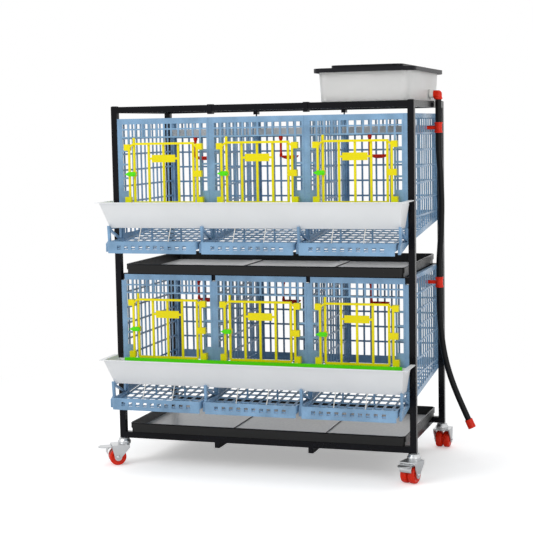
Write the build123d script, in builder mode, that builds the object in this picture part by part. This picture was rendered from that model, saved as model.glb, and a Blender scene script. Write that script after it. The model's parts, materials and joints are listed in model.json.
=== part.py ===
# Two-tier cage rack for quail or young chickens, on casters.
# Millimetres, +Z up, +X to the viewer's right, -Y towards the viewer.
# The origin is on the floor under the middle of the rack's whole box, free hose left out.
# Each tier holds three cages side by side, with sliding doors, a feed trough in front,
# roll-out egg trays, a dropping tray below and drinkers fed by a tank on the roof.
import os
from math import atan, cos, degrees, radians, sin, tan

from build123d import *

# Steel frame
FRAME_W = 1000.0          # outside width over the posts
FRAME_D = 480.0           # outside depth over the posts
POST_BASE = 90.0          # foot of the posts above the floor
FRAME_TOP = 1180.0        # top of the roof rails
TUBE = 20.0               # square tube
TUBE_WALL = 1.5
MID_RAIL_TOP = 638.0      # top of the rails under the upper dropping tray
RAIL_INSET = 39.0         # outer face of the side rails to the posts' outer face
MID_RAIL_BACK = 8.0       # face of the middle front rail behind the posts' face
CLIP_W = 15.0             # hanger clips over the roof rails
CLIP_T = 2.0
CLIP_DROP = 9.0           # how far a clip hangs below its rail
CROSS_BAR = 16.0          # bars under the lower dropping tray
CROSS_BAR_H = 18.0

# Plastic cages, heights counted down from the top edge of a tier
TIER_PITCH = 505.0
CAGE_GAP = 2.0            # cage top edge below the top of the rail above it
BAR = 6.0                 # bars of the plastic nets
NET_T = 4.0               # thickness of the nets
COLUMNS = 12              # net columns in one cage
END_FLANGE = 12.0         # flange of the outer side panels
DIVIDER_FLANGE = 14.0     # flange of the panels between cages
FLANGE_DEPTH = 15.0       # how far the front and back flanges reach along the panel
HEAD_STRIP = 18.0         # plain strip along the top of a front
HEAD_SLOT_1 = 14.5        # first row of slots
HEAD_SLOT_2 = 21.0        # second row of slots
HEAD_BAR = 4.5
RUNG_PITCH = 44.0
FRONT_FOOT = 338.0        # underside of the front's lower strip
FOOT_STRIP = 60.0         # height of that strip
LEG_W = 5.0               # posts between the lower strip and the floor
ROW_PITCH = 52.0          # rows of the side and back nets
SIDE_COLUMNS = 13
FLOOR_DROP = 396.0        # floor below the top edge, at the front plane
FLOOR_SLOPE = 0.0945      # rise of the floor per millimetre of depth
EDGE_BAND = 14.0          # solid edge of the side nets
PANEL_FIT = 1.0           # side panels to the posts' front and back planes
FLOOR_T = 4.0
FLOOR_ROWS = 14
FLOOR_COLUMNS = 10
FLOOR_FIT = 2.0           # floor to the back net
LEG_FIT = 0.1             # legs and lips to the floor they stand on

# Egg tray lip in front of each cage
EGG_REACH = 129.0         # lip in front of the posts
LIP_TOP = 387.0
LIP_BOTTOM = 425.0
LIP_T = 3.0
LIP_HOLES = 10
LIP_HOLE = 13.0
LIP_CORNER = 8.0

# Trough brackets, drawn from the front plane
BRACKET_TOP = 350.0
BRACKET_ARM_TOP = 340.0
BRACKET_ARM_W = 9.0
BRACKET_W = 8.0           # side to side
BRACKET_REACH = 112.0
BRACKET_FOOT = 422.0

# Feed trough
TROUGH_W = 1006.0         # over the end flanges
TROUGH_FLANGE = 13.0      # end flanges
TROUGH_END_SLOPE = 15.0   # how far each end leans in
TROUGH_RIM = 263.0        # rim below the cage top edge
TROUGH_H = 84.0
TROUGH_FRONT = 136.0      # rim in front of the posts
TROUGH_FOOT_FRONT = 86.0
TROUGH_BACK = 22.0        # back wall in front of the posts
TROUGH_BACK_DROP = 11.0   # back wall lower than the rim
TROUGH_WALL = 2.5
TROUGH_LIP = 4.0
SAVER_W = 924.0
SAVER_H = 13.0
SAVER_T = 9.0

# Doors
DOOR_BAR = 7.0
DOOR_BAR_T = 6.0
DOOR_BAR_PITCH = 51.0
DOOR_TOP = 81.0           # middle of the top bar below the cage top edge
DOOR_H = 189.0            # top bar to bottom bar
DOOR_SPIKE = 16.0         # first bar above the top bar
GUIDE_X = 117.0           # side rods each side of the middle
BLOCK = 20.0              # corner blocks
BLOCK_X = 124.0
BLOCK_TOP = 92.0
BLOCK_BOTTOM = 262.0
GUIDE_T = 5.0             # top bar and rods, front to back
GUIDE_GAP = 1.5           # top bar to the sliding bars behind it
DOOR_STANDOFF = 3.5       # sliding bars in front of the net
PLATE_W = 80.0            # blank label plate
PLATE_H = 24.0
PLATE_DROP = 129.0
LATCH_DROP = 178.0
LATCH_LONG = 29.0
LATCH_SHORT = 9.0
LATCH_H = 14.0
LATCH_T = 5.0
LATCH_PIN_R = 3.0
SLIDER_W = 30.0
SLIDER_H = 20.0
RUN_FIT = 0.3             # clearance of sliding faces
PIN_FIT = 0.08            # radial clearance of pins

# Dropping trays
TRAY_W = 930.0
TRAY_D = 485.0
TRAY_H = 30.0
TRAY_T = 1.2
TRAY_HEM = 17.0
TRAY_HEM_T = 3.0
TRAY_CORNER = 14.0
TRAY_RIB_W = 34.0
TRAY_RIB_H = 5.0

# Water
PIPE = 26.0               # square water pipe
PIPE_DROP = 38.0          # top of the pipe below the cage top edge
PIPE_WALL = 2.0
PIPE_BACK = 9.0           # pipe to the posts' back plane
DRINKER_X = 62.0          # drop tube right of the cage's middle, less half the cup
DRINKER_TUBE_R = 4.0
DRINKER_DROP = 76.0
CUP_W = 66.0
CUP_D = 24.0
CUP_H = 14.0
CUP_WALL = 2.0
HOSE_R = 10.0
HOSE_X = 512.0            # hose drop right of the frame's middle
HOSE_Y = 85.0
TEE_R = 12.0
TEE_H = 28.0
TEE_DROP = 32.0           # top of the tee below the cage top edge
SPIGOT_R = 6.0
ELBOW_Z = 1203.0
ELBOW_DROP = 14.0
BOW = 9.0                 # how far the long hose drop bows outwards

# Tank
TANK_W = 292.0
TANK_D = 456.0
TANK_H = 100.0
TANK_RIGHT = 486.0        # right wall at the top
TANK_DRAFT = 5.0
TANK_WALL = 3.0
TANK_CORNER = 26.0
LID_OVER = 16.0
LID_H = 13.0
LID_PANEL_H = 10.0
LID_PANEL_IN = 32.0
LID_T = 3.0
BOSS_R = 13.0
BOSS_L = 14.0

# Casters
WHEEL_R = 28.0
WHEEL_W = 22.0
WHEEL_GAP = 4.0
HUB_R = 21.0
TRAIL = 25.0
AXLE_R = 4.0
FORK_T = 3.0
FORK_GAP = 1.5
FORK_PLATE_T = 4.0
FORK_BACK = 14.0          # top plate behind the swivel, and ahead of it
FORK_AHEAD = 44.0
FORK_TIP_R = 12.0
RACE_R = 21.0
RACE_H = 19.0
STEM_R = 6.0
KINGPIN_R = 5.0
PLUG = 24.0               # stem plug inside the post
PEDAL_W = 40.0
PEDAL_REACH = 68.0        # middle of the pedal's round end from the swivel
PEDAL_T = 3.0
PEDAL_PIN_X = 4.0
PEDAL_PIN_R = 2.0
PEDAL_EYE_R = 3.8
PEDAL_DROP = 4.2          # pedal pin below the fork plate
TRAILS = {                # heading of each caster's trail, degrees from +X
    "left_front": 212.0,
    "right_front": 255.0,
    "left_back": 90.0,
    "right_back": 90.0,
}
BRAKED = ("left_front", "right_front")

# Free end of the hose: right of the frame's middle, behind it, and up
FREE_HOSE = [
    (HOSE_X, HOSE_Y, 588.0),
    (HOSE_X, HOSE_Y, 530.0),
    (514.0, HOSE_Y + 1, 472.0),
    (519.0, HOSE_Y + 1, 414.0),
    (528.5, HOSE_Y, 356.0),
    (543.5, HOSE_Y - 1, 300.0),
    (563.0, HOSE_Y - 1, 246.0),
    (585.0, HOSE_Y, 194.0),
    (606.0, HOSE_Y, 148.0),
]
CAP_R = 13.0
CAP_L = 30.0

# Derived sizes
HALF_W = FRAME_W / 2
HALF_D = FRAME_D / 2
POST_X = HALF_W - TUBE / 2
POST_Y = HALF_D - TUBE / 2
INNER_X = HALF_W - TUBE
TIERS = {"lower": MID_RAIL_TOP - CAGE_GAP, "upper": MID_RAIL_TOP - CAGE_GAP + TIER_PITCH}
CELL_W = (2 * INNER_X - 2 * END_FLANGE - 2 * DIVIDER_FLANGE) / 3
CELL_PITCH = CELL_W + DIVIDER_FLANGE
CELLS = {"left": -CELL_PITCH, "middle": 0.0, "right": CELL_PITCH}
DIVIDERS = (-CELL_PITCH / 2, CELL_PITCH / 2)
PITCH_X = (CELL_W - BAR) / COLUMNS
HEAD = HEAD_STRIP + HEAD_SLOT_1 + HEAD_BAR + HEAD_SLOT_2 + HEAD_BAR
PANEL_FRONT = -HALF_D + PANEL_FIT
PANEL_BACK = HALF_D - PANEL_FIT
TROUGH_RIM_X = TROUGH_W / 2 - TROUGH_FLANGE
RAIL_X = HALF_W - RAIL_INSET

# Where the tank's leaning wall meets the top of the boss
BOSS_X = TANK_RIGHT - TANK_DRAFT * (1 - (ELBOW_Z + BOSS_R - FRAME_TOP) / TANK_H)

# Where the frame stands in the whole box
LEFT_REACH = POST_X - PEDAL_REACH * cos(radians(TRAILS["left_front"])) + PEDAL_W / 2
RIGHT_REACH = HOSE_X + TEE_R
FRONT_REACH = HALF_D + TROUGH_FRONT + TROUGH_LIP
BACK_REACH = POST_Y + TRAIL + WHEEL_R
CX = (LEFT_REACH - RIGHT_REACH) / 2
CY = (FRONT_REACH - BACK_REACH) / 2


def level(z=0.0):
    """Flat plane at a height, on the frame's own middle."""
    return Plane(origin=(CX, CY, z), x_dir=(1, 0, 0), z_dir=(0, 0, 1))


def facing(y=0.0):
    """Upright plane that faces the viewer: its axes are X and Z."""
    return Plane(origin=(CX, CY + y, 0), x_dir=(1, 0, 0), z_dir=(0, -1, 0))


def crosswise(x=0.0):
    """Upright plane that faces right: its axes are Y and Z."""
    return Plane(origin=(CX + x, CY, 0), x_dir=(0, 1, 0), z_dir=(1, 0, 0))


def block(x, y, z, mode=Mode.ADD):
    """Square-cornered block between two limits on each axis."""
    with Locations(((x[0] + x[1]) / 2, (y[0] + y[1]) / 2, (z[0] + z[1]) / 2)):
        Box(x[1] - x[0], y[1] - y[0], z[1] - z[0], mode=mode)


def pane(u, v, mode=Mode.ADD):
    """Rectangle between two limits on each axis of a sketch."""
    with Locations(((u[0] + u[1]) / 2, (v[0] + v[1]) / 2)):
        Rectangle(u[1] - u[0], v[1] - v[0], mode=mode)


def outline(points, mode=Mode.ADD):
    """Closed straight-sided face through points of a sketch."""
    Polygon(*points, align=None, mode=mode)


def tube_section():
    """Square tube section at the place that Locations gives."""
    Rectangle(TUBE, TUBE)
    Rectangle(TUBE - 2 * TUBE_WALL, TUBE - 2 * TUBE_WALL, mode=Mode.SUBTRACT)


def save_tiers(piece, label):
    """Write a piece that was made for the lower tier, and a copy of it one tier up."""
    for tier, top in TIERS.items():
        with BuildPart() as copy:
            add(piece.part.moved(Location((0, 0, top - TIERS["lower"]))))
        save(copy, f"{tier}_{label}")


def save(piece, label):
    """Name a finished piece and write it."""
    piece.part.label = label
    export_step(piece.part, f"parts/{label}.step")


# Frame
def make_posts():
    """Four hollow corner posts."""
    with BuildPart(level()) as posts:
        with BuildSketch(level(POST_BASE)):
            with GridLocations(2 * POST_X, 2 * POST_Y, 2, 2):
                tube_section()
        extrude(amount=FRAME_TOP - POST_BASE)
    save(posts, "posts")


def make_rails(label, rings):
    """Rings of four rails by height: front and back between the posts, sides between those."""
    with BuildPart(level()) as rails:
        for top, (front_y, side_x) in rings.items():
            middle = top - TUBE / 2
            with BuildSketch(crosswise(-INNER_X)):
                with Locations((-front_y, middle), (front_y, middle)):
                    tube_section()
            extrude(amount=2 * INNER_X)
            run = front_y - TUBE / 2
            with BuildSketch(facing(run)):
                with Locations((-side_x, middle), (side_x, middle)):
                    tube_section()
            extrude(amount=2 * run)
    save(rails, label)


def make_clips():
    """Straps over the roof rails, above each divider, front and back."""
    below = FRAME_TOP - TUBE - CLIP_DROP
    with BuildPart(level()) as clips:
        for x in DIVIDERS:
            for face in (-1, 1):
                outer = face * (HALF_D + CLIP_T)
                inner = face * (HALF_D - TUBE - CLIP_T)
                span = sorted((outer, inner))
                reach = (x - CLIP_W / 2, x + CLIP_W / 2)
                block(reach, span, (below, FRAME_TOP + CLIP_T))
                hollow = sorted((face * HALF_D, face * (HALF_D - TUBE)))
                block(reach, hollow, (FRAME_TOP - TUBE, FRAME_TOP), Mode.SUBTRACT)
            hook = sorted((face * (POST_Y - CLIP_T), face * (POST_Y + CLIP_T)))
            block((x - CLIP_T, x + CLIP_T), hook, (TIERS["upper"], below))
    save(clips, "hanger_clips")


def make_cross_bars():
    """Two bars under the bottom rails that carry the middle of the lower tray."""
    with BuildPart(level()) as bars:
        for x in DIVIDERS:
            block((x - CROSS_BAR / 2, x + CROSS_BAR / 2), (-HALF_D, HALF_D),
                  (POST_BASE - CROSS_BAR_H, POST_BASE))
    save(bars, "tray_cross_bars")


# Cage panels
def floor_line(top, y):
    """Height of a tier's floor at a depth."""
    return top - FLOOR_DROP + FLOOR_SLOPE * (y + HALF_D)


def panel_net(top, notched):
    """Side net in Y and Z: slots in columns down to the sloping lower edge."""
    outline([
        (PANEL_FRONT, floor_line(top, PANEL_FRONT) - FLOOR_T),
        (PANEL_BACK, floor_line(top, PANEL_BACK) - FLOOR_T),
        (PANEL_BACK, top),
        (PANEL_FRONT, top),
    ])
    span = PANEL_BACK - PANEL_FRONT - 2 * FLANGE_DEPTH
    pitch = span / SIDE_COLUMNS
    slot_h = ROW_PITCH - BAR
    first = PANEL_FRONT + FLANGE_DEPTH + pitch / 2
    whole = []
    for column in range(SIDE_COLUMNS):
        y = first + column * pitch
        high = top - EDGE_BAND
        low = floor_line(top, y - pitch / 2) + EDGE_BAND
        while high - slot_h > low:
            whole.append((y, high - slot_h / 2))
            high -= ROW_PITCH
        if high - low > BAR:
            pane((y - (pitch - BAR) / 2, y + (pitch - BAR) / 2), (low, high), Mode.SUBTRACT)
    with Locations(*whole):
        Rectangle(pitch - BAR, slot_h, mode=Mode.SUBTRACT)
    if notched:
        cut = HALF_D - MID_RAIL_BACK - TUBE - RUN_FIT
        for face in (-1, 1):
            pane(sorted((face * cut, face * HALF_D)), (top - TUBE, top), Mode.SUBTRACT)


def panel_flanges(top, x, notched):
    """Raised bands round a panel: front, back and, between the rails, top."""
    crown = top - TUBE if notched else top
    for face in (-1, 1):
        edge = PANEL_FRONT if face < 0 else PANEL_BACK
        band = sorted((edge, edge - face * FLANGE_DEPTH))
        block(x, band, (floor_line(top, band[0]) - FLOOR_T, crown))
    inner = HALF_D - MID_RAIL_BACK - TUBE - RUN_FIT if notched else -PANEL_FRONT - FLANGE_DEPTH
    block(x, (-inner, inner), (top - EDGE_BAND / 2, top))


def make_panels(tier, top):
    """Two outer side panels and the two dividers of a tier."""
    notched = tier == "lower"
    pipe_y = (HALF_D - PIPE_BACK - PIPE - RUN_FIT, HALF_D - PIPE_BACK + RUN_FIT)
    pipe_z = (top - PIPE_DROP - PIPE - RUN_FIT, top - PIPE_DROP + RUN_FIT)
    for side, sign in (("left", -1), ("right", 1)):
        flange = sorted((sign * INNER_X, sign * (INNER_X - END_FLANGE)))
        with BuildPart(level()) as panel:
            with BuildSketch(crosswise(sign * INNER_X)):
                panel_net(top, notched)
            extrude(amount=-sign * NET_T)
            panel_flanges(top, flange, notched)
            if sign > 0:
                tee_z = top - TEE_DROP - TEE_H / 2
                reach = SPIGOT_R + RUN_FIT
                block(flange, (HOSE_Y - reach, HOSE_Y + reach), (tee_z - reach, tee_z + reach),
                      Mode.SUBTRACT)
        save(panel, f"{tier}_{side}_panel")
    with BuildPart(level()) as dividers:
        for x in DIVIDERS:
            with BuildSketch(crosswise(x - NET_T / 2)):
                panel_net(top, notched)
            extrude(amount=NET_T)
            panel_flanges(top, (x - DIVIDER_FLANGE / 2, x + DIVIDER_FLANGE / 2), notched)
            block((x - DIVIDER_FLANGE, x + DIVIDER_FLANGE), pipe_y, pipe_z, Mode.SUBTRACT)
    save(dividers, f"{tier}_dividers")


def make_backs(top):
    """Three back nets, set between the panels' back flanges."""
    rows = int((FLOOR_DROP - FLOOR_SLOPE * FRAME_D - EDGE_BAND) // ROW_PITCH)
    foot = floor_line(top, HALF_D)
    with BuildPart(level()) as backs:
        with BuildSketch(facing(HALF_D)):
            for x in CELLS.values():
                pane((x - CELL_W / 2, x + CELL_W / 2), (foot, top))
                crown = top - EDGE_BAND - rows * ROW_PITCH / 2
                with Locations((x, crown)):
                    with GridLocations(PITCH_X, ROW_PITCH, COLUMNS, rows):
                        Rectangle(PITCH_X - BAR, ROW_PITCH - BAR, mode=Mode.SUBTRACT)
        extrude(amount=NET_T)
    save_tiers(backs, "backs")


def make_fronts(top):
    """Three front nets: slotted head, a ladder each side of the doorway, foot strip, legs."""
    slot = PITCH_X - BAR
    doorway = CELL_W / 2 - PITCH_X - BAR
    sill = top - FRONT_FOOT + FOOT_STRIP
    rungs = int((FRONT_FOOT - FOOT_STRIP - HEAD) // RUNG_PITCH)
    with BuildPart(level()) as fronts:
        with BuildSketch(facing(-HALF_D + NET_T)):
            for x in CELLS.values():
                pane((x - CELL_W / 2, x + CELL_W / 2), (top - FRONT_FOOT, top))
                row_1 = top - HEAD_STRIP - HEAD_SLOT_1 / 2
                row_2 = row_1 - HEAD_SLOT_1 / 2 - HEAD_BAR - HEAD_SLOT_2 / 2
                for row, height in ((row_1, HEAD_SLOT_1), (row_2, HEAD_SLOT_2)):
                    with Locations((x, row)):
                        with GridLocations(PITCH_X, 1, COLUMNS, 1):
                            Rectangle(slot, height, mode=Mode.SUBTRACT)
                pane((x - doorway, x + doorway), (sill, top - HEAD), Mode.SUBTRACT)
                for rung in range(rungs):
                    high = top - HEAD - rung * RUNG_PITCH
                    low = max(high - RUNG_PITCH + BAR, sill)
                    for side in (-1, 1):
                        middle = x + side * (CELL_W - BAR - PITCH_X) / 2
                        pane((middle - slot / 2, middle + slot / 2), (low, high), Mode.SUBTRACT)
                with Locations((x, top - FRONT_FOOT + FOOT_STRIP / 2)):
                    with GridLocations(PITCH_X, 1, COLUMNS, 1):
                        Rectangle(slot, FOOT_STRIP / 2, mode=Mode.SUBTRACT)
                for side in (-1, 1):
                    leg = x + side * CELL_W / 6
                    pane((leg - LEG_W / 2, leg + LEG_W / 2),
                         (floor_line(top, -HALF_D + NET_T) + LEG_FIT, top - FRONT_FOOT))
        extrude(amount=NET_T)
    save_tiers(fronts, "fronts")


def make_brackets():
    """Arms that carry the trough: one in line with each panel of both tiers."""
    gap = RUN_FIT
    front = -HALF_D
    lean = (TROUGH_FRONT - TROUGH_FOOT_FRONT) / TROUGH_H
    with BuildPart(level()) as brackets:
        for top in TIERS.values():
            shelf = top - TROUGH_RIM - TROUGH_H
            toe = front - TROUGH_FOOT_FRONT - gap
            tip = toe - lean * (top - BRACKET_ARM_TOP - shelf)
            starts = [-INNER_X, INNER_X - BRACKET_W]
            starts += [x - BRACKET_W / 2 for x in DIVIDERS]
            for x in starts:
                with BuildSketch(crosswise(x)):
                    outline([
                        (PANEL_FRONT, floor_line(top, PANEL_FRONT) - FLOOR_T),
                        (PANEL_FRONT, shelf),
                        (toe, shelf),
                        (tip, top - BRACKET_ARM_TOP),
                        (tip - BRACKET_ARM_W, top - BRACKET_ARM_TOP),
                        (toe - BRACKET_ARM_W, top - LIP_TOP - gap),
                        (front - BRACKET_REACH, top - LIP_TOP - BRACKET_ARM_W),
                        (front - BRACKET_REACH, top - BRACKET_FOOT),
                    ])
                    brace = BRACKET_ARM_W / 2
                    deep = top - LIP_TOP - brace
                    outline([
                        (front - brace, shelf - brace),
                        (toe + brace, shelf - brace),
                        (front - brace, deep + brace),
                    ], Mode.SUBTRACT)
                    outline([
                        (toe - brace / 2, shelf - 2 * brace),
                        (toe, deep),
                        (front - 2 * brace, deep),
                    ], Mode.SUBTRACT)
                extrude(amount=BRACKET_W)
    save(brackets, "trough_brackets")


def make_floors(top):
    """Three sloping slotted floors that run out in front of the cages."""
    angle = degrees(atan(FLOOR_SLOPE))
    back = HALF_D - NET_T - FLOOR_FIT
    front = -HALF_D - EGG_REACH + LIP_T + FLOOR_SLOPE * FLOOR_T
    run = (back - front) / cos(radians(angle))
    middle_y = (back + front) / 2
    pitch_x = (CELL_W - BAR) / FLOOR_COLUMNS
    pitch_y = (run - BAR) / FLOOR_ROWS
    with BuildPart(level()) as floors:
        for x in CELLS.values():
            slope = Plane(origin=(CX + x, CY + middle_y, floor_line(top, middle_y) - FLOOR_T),
                          x_dir=(1, 0, 0), z_dir=(0, -FLOOR_SLOPE, 1))
            with BuildSketch(slope):
                RectangleRounded(CELL_W, run, LIP_CORNER)
                with Locations((0, run / 4)):
                    Rectangle(CELL_W, run / 2)
                with GridLocations(pitch_x, pitch_y, FLOOR_COLUMNS, FLOOR_ROWS):
                    Rectangle(pitch_x - BAR, pitch_y - BAR, mode=Mode.SUBTRACT)
            extrude(amount=FLOOR_T)
    save_tiers(floors, "floors")


def make_lips():
    """Raised rims of the egg trays: a drilled front wall and two side walls on each floor."""
    front = -HALF_D - EGG_REACH
    depth = EGG_REACH - NET_T
    with BuildPart(level()) as lips:
        for top in TIERS.values():
            for x in CELLS.values():
                with BuildSketch(level(top - LIP_BOTTOM)):
                    with Locations((x, front + depth / 2)):
                        RectangleRounded(CELL_W, depth, LIP_CORNER)
                    with Locations((x, front + 3 * depth / 4)):
                        Rectangle(CELL_W, depth / 2)
                    with Locations((x, front + depth / 2 + LIP_T)):
                        RectangleRounded(CELL_W - 2 * LIP_T, depth, LIP_CORNER - LIP_T,
                                         mode=Mode.SUBTRACT)
                    with Locations((x, front + 3 * depth / 4 + LIP_T)):
                        Rectangle(CELL_W - 2 * LIP_T, depth / 2, mode=Mode.SUBTRACT)
                extrude(amount=LIP_BOTTOM - LIP_TOP)
                with BuildSketch(facing(front + LIP_T)):
                    with Locations((x, top - (LIP_TOP + LIP_BOTTOM) / 2)):
                        with GridLocations(PITCH_X, 1, LIP_HOLES, 1):
                            Rectangle(LIP_HOLE, LIP_HOLE)
                extrude(amount=LIP_T, mode=Mode.SUBTRACT)
            with BuildSketch(crosswise(-HALF_W)):
                outline([
                    (front + LIP_T, floor_line(top, front + LIP_T) + LEG_FIT),
                    (-HALF_D, floor_line(top, -HALF_D) + LEG_FIT),
                    (-HALF_D, top - LIP_BOTTOM - LIP_T),
                    (front + LIP_T, top - LIP_BOTTOM - LIP_T),
                ])
            extrude(amount=FRAME_W, mode=Mode.SUBTRACT)
    save(lips, "egg_lips")


# Doors
def make_guides(top):
    """Fixed yellow guides: corner blocks, side rods and a top bar round each doorway."""
    face = -HALF_D
    slide = face - DOOR_STANDOFF - DOOR_BAR_T - GUIDE_GAP
    bar_z = top - DOOR_TOP
    corner = DOOR_BAR_PITCH * 2
    with BuildPart(level()) as guides:
        for x in CELLS.values():
            for side in (-1, 1):
                middle = x + side * BLOCK_X
                for drop in (BLOCK_TOP, BLOCK_BOTTOM):
                    block((middle - BLOCK / 2, middle + BLOCK / 2), (slide - GUIDE_T, face),
                          (top - drop - BLOCK / 2, top - drop + BLOCK / 2))
                rod = x + side * GUIDE_X
                block((rod - DOOR_BAR / 2, rod + DOOR_BAR / 2), (slide - GUIDE_T, slide),
                      (top - BLOCK_BOTTOM, top - BLOCK_TOP))
            with BuildSketch(facing(slide)):
                pane((x - corner, x + corner), (bar_z - DOOR_BAR / 2, bar_z + DOOR_BAR / 2))
                for side in (-1, 1):
                    inner = x + side * corner
                    outer = x + side * (BLOCK_X - BLOCK / 2 + 1)
                    foot = top - BLOCK_TOP
                    outline([(inner, bar_z + DOOR_BAR / 2), (inner, bar_z - DOOR_BAR / 2),
                             (outer, foot - DOOR_BAR / 2), (outer, foot + DOOR_BAR / 2)])
            extrude(amount=GUIDE_T)
    save_tiers(guides, "door_guides")


def make_door(tier, cell, top, x):
    """Sliding grille: five bars, bottom bar, blank label plate, slider and latch block."""
    behind = -HALF_D - DOOR_STANDOFF
    front = behind - DOOR_BAR_T
    rod_y = (front - GUIDE_GAP - GUIDE_T, front - GUIDE_GAP)
    foot = top - DOOR_TOP - DOOR_H
    head = top - DOOR_TOP + DOOR_BAR / 2
    catch = top - LATCH_DROP
    hold = DOOR_BAR_PITCH * 2
    with BuildPart(level()) as door:
        with BuildSketch(facing(behind)):
            for bar in range(-2, 3):
                middle = x + bar * DOOR_BAR_PITCH
                crown = head + (DOOR_SPIKE if bar == -2 else 0)
                pane((middle - DOOR_BAR / 2, middle + DOOR_BAR / 2), (foot, crown))
            pane((x - hold, x + hold), (foot - DOOR_BAR / 2, foot + DOOR_BAR / 2))
            pane((x - DOOR_BAR_PITCH, x + DOOR_BAR_PITCH),
                 (top - PLATE_DROP - DOOR_BAR / 2, top - PLATE_DROP + DOOR_BAR / 2))
        extrude(amount=DOOR_BAR_T)
        with BuildSketch(facing(front + DOOR_BAR_T / 2)):
            pane((x - PLATE_W / 2, x + PLATE_W / 2),
                 (top - PLATE_DROP - PLATE_H / 2, top - PLATE_DROP + PLATE_H / 2))
        extrude(amount=DOOR_BAR_T / 2)
        slider = x + hold + DOOR_BAR / 2
        block((slider - DOOR_BAR / 2, slider - DOOR_BAR / 2 + SLIDER_W),
              (rod_y[0] - GUIDE_GAP - RUN_FIT, behind),
              (catch - SLIDER_H / 2, catch + SLIDER_H / 2))
        rod = x + GUIDE_X
        block((rod - DOOR_BAR / 2 - RUN_FIT, rod + DOOR_BAR / 2 + RUN_FIT),
              (rod_y[0] - RUN_FIT, rod_y[1] + RUN_FIT),
              (catch - SLIDER_H, catch + SLIDER_H), Mode.SUBTRACT)
        pivot = x - hold
        block((pivot - LATCH_H / 2, pivot + LATCH_H / 2), (rod_y[0] - RUN_FIT, behind),
              (catch - LATCH_H / 2 - 1, catch + LATCH_H / 2 + 1))
        with BuildSketch(facing(rod_y[0] - RUN_FIT)):
            with Locations((pivot, catch)):
                Circle(LATCH_PIN_R + PIN_FIT)
        extrude(amount=-2 * GUIDE_T, mode=Mode.SUBTRACT)
    save(door, f"{tier}_{cell}_door")


def make_latch(tier, cell, top, x):
    """Pointed turn-button on a pin, which hooks over the left side rod."""
    pivot = x - DOOR_BAR_PITCH * 2
    catch = top - LATCH_DROP
    seat = -HALF_D - DOOR_STANDOFF - DOOR_BAR_T - GUIDE_GAP - GUIDE_T - RUN_FIT
    with BuildPart(level()) as latch:
        with BuildSketch(facing(seat - RUN_FIT)):
            outline([
                (pivot + LATCH_SHORT, catch),
                (pivot + LATCH_SHORT / 2, catch + LATCH_H / 2),
                (pivot - LATCH_LONG + LATCH_H, catch + LATCH_H / 2),
                (pivot - LATCH_LONG, catch),
                (pivot - LATCH_LONG + LATCH_H, catch - LATCH_H / 2),
                (pivot + LATCH_SHORT / 2, catch - LATCH_H / 2),
            ])
        extrude(amount=LATCH_T)
        with BuildSketch(facing(seat - RUN_FIT)):
            with Locations((pivot, catch)):
                Circle(LATCH_PIN_R)
        extrude(amount=-2 * GUIDE_T + 1)
    save(latch, f"{tier}_{cell}_latch")


# Feed troughs
def make_trough(tier, top):
    """Long open feed trough with leaning front and ends, and flanges at its ends."""
    high = top - TROUGH_RIM
    with BuildPart(level()) as trough:
        for inset, mode in ((0, Mode.ADD), (TROUGH_WALL, Mode.SUBTRACT)):
            back = -HALF_D - TROUGH_BACK - inset
            rim_x = TROUGH_RIM_X - inset
            foot_x = rim_x - TROUGH_END_SLOPE
            with BuildSketch(level(high - TROUGH_H + inset)):
                pane((-foot_x, foot_x), (-HALF_D - TROUGH_FOOT_FRONT + inset, back))
            with BuildSketch(level(high)):
                pane((-rim_x, rim_x), (-HALF_D - TROUGH_FRONT + inset, back))
            loft(ruled=True, mode=mode)
            if mode == Mode.ADD:
                block((-TROUGH_W / 2, TROUGH_W / 2),
                      (-HALF_D - TROUGH_FRONT - TROUGH_LIP, back), (high - TROUGH_WALL, high))
        back = -HALF_D - TROUGH_BACK
        block((-TROUGH_RIM_X, TROUGH_RIM_X), (back - TROUGH_WALL * 1.5, back),
              (high - TROUGH_BACK_DROP, high), Mode.SUBTRACT)
    save(trough, f"{tier}_trough")


def make_saver(tier, top):
    """Green strip clipped over the trough's back wall, which keeps feed in."""
    crown = top - TROUGH_RIM - TROUGH_BACK_DROP + TROUGH_WALL
    back = -HALF_D - TROUGH_BACK
    with BuildPart(level()) as saver:
        block((-SAVER_W / 2, SAVER_W / 2), (back - SAVER_T, back + TROUGH_WALL),
              (crown - SAVER_H, crown))
        block((-SAVER_W, SAVER_W), (back - TROUGH_WALL, back),
              (crown - 2 * SAVER_H, crown - TROUGH_WALL), Mode.SUBTRACT)
    save(saver, f"{tier}_feed_saver")


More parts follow.
